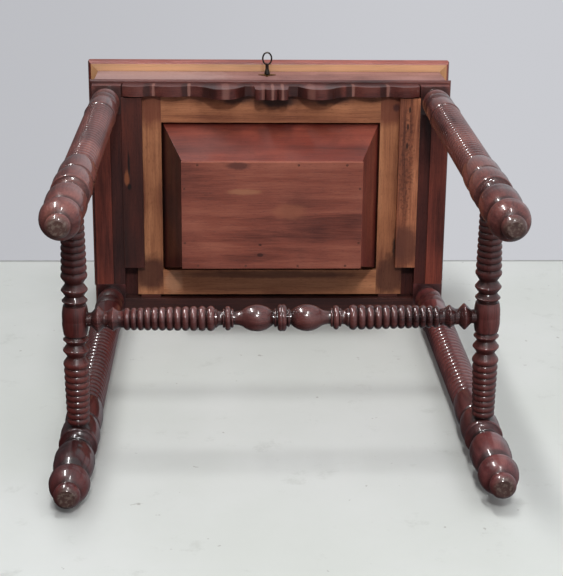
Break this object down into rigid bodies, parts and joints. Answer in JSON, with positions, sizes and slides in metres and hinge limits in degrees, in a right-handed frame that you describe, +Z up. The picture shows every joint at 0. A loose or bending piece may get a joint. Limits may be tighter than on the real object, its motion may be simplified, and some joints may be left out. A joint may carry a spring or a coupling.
{
  "type": "sewing table",
  "caption": "Small work table: locking box with a hinged lid, scalloped pull-out frame with a tapered wooden hopper, and ring-turned legs joined by turned stretchers.",
  "frame": {"origin": "on the floor under the middle of the whole table, key and hinges included; the middle of the case stands 11.43 mm behind it", "axes": "+Z up, -Y to the front (key and scalloped drawer front), +X to the right seen from the front"},
  "size_m": [0.52, 0.3665, 0.759],
  "materials": {
    "leg_wood": "varnished mahogany, turned",
    "stretcher_wood": "varnished mahogany, turned",
    "case_wood": "varnished mahogany veneer",
    "lid_wood": "varnished mahogany veneer over light wood",
    "edge_wood": "varnished mahogany edge, bare light wood below",
    "bead_wood": "varnished mahogany",
    "apron_wood": "thinly varnished mahogany, bare below",
    "guide_wood": "stained softwood",
    "runner_wood": "worn bare wood",
    "floor_wood": "bare softwood",
    "tray_wood": "thin varnished wood",
    "drawer_front_wood": "varnished mahogany, sawn edge",
    "frame_wood": "bare light wood, worn and stained",
    "hopper_wood": "thinly varnished mahogany",
    "hopper_floor_wood": "thinly varnished mahogany board",
    "brass": "old polished brass",
    "steel": "bright iron",
    "key_steel": "dark worn iron"
  },
  "bodies": {
    "table": {"apron_left": "apron_wood", "apron_rear": "apron_wood", "apron_right": "apron_wood", "base_bead_front": "bead_wood", "base_bead_left": "bead_wood", "base_bead_right": "bead_wood", "box_back": "case_wood", "box_floor": "floor_wood", "box_front": "case_wood", "box_left": "case_wood", "box_right": "case_wood", "cross_stretcher": "stretcher_wood", "drawer_guide_left": "guide_wood", "drawer_guide_right": "guide_wood", "drawer_stops": "guide_wood", "escutcheon": "brass", "front_rail": "bead_wood", "hinge_leaves_lower": "brass", "hinge_pins": "brass", "hinge_screws_lower": "steel", "kicker_left": "guide_wood", "kicker_right": "guide_wood", "leg_front_left": "leg_wood", "leg_front_right": "leg_wood", "leg_rear_left": "leg_wood", "leg_rear_right": "leg_wood", "lock_case": "brass", "lock_plate": "brass", "lock_screws": "steel", "runner_left": "runner_wood", "runner_right": "runner_wood", "side_stretcher_left": "stretcher_wood", "side_stretcher_right": "stretcher_wood", "tray_dividers_front": "tray_wood", "tray_dividers_rear": "tray_wood", "tray_rail": "tray_wood"},
    "lid": {"lid_board": "lid_wood", "lid_edge_front": "edge_wood", "lid_edge_left": "edge_wood", "lid_edge_right": "edge_wood", "hinge_leaves_upper": "brass", "hinge_screws_upper": "steel", "link_plate": "brass", "link_screws": "steel"},
    "drawer": {"drawer_front": "drawer_front_wood", "drawer_stile_left": "frame_wood", "drawer_stile_right": "frame_wood", "drawer_rail_front": "frame_wood", "drawer_rail_rear": "frame_wood", "hopper_front": "hopper_wood", "hopper_rear": "hopper_wood", "hopper_left": "hopper_wood", "hopper_right": "hopper_wood", "hopper_bottom": "hopper_floor_wood", "hopper_nails": "steel"},
    "key": {"key": "key_steel"},
    "bolt": {"lock_bolt": "steel"}
  },
  "joints": [
    {"name": "lid_hinge", "type": "hinge", "parent": "table", "child": "lid", "pos_m": [0, 0.17723, 0.7386], "axis": [-1, 0, 0], "range_deg": [0, 100]},
    {"name": "drawer_slide", "type": "slide", "parent": "table", "child": "drawer", "axis": [0, -1, 0], "range_m": [0, 0.2]},
    {"name": "key_turn", "type": "hinge", "parent": "table", "child": "key", "pos_m": [-0.004, -0.15087, 0.711], "axis": [0, 1, 0], "range_deg": [-90, 90]},
    {"name": "bolt_slide", "type": "slide", "parent": "table", "child": "bolt", "axis": [1, 0, 0], "range_m": [-0.0091, 0.0091]}
  ],
  "couplings": [
    {"joint": "bolt_slide", "follows": "key_turn", "m_per_rad": 0.0057296}
  ]
}
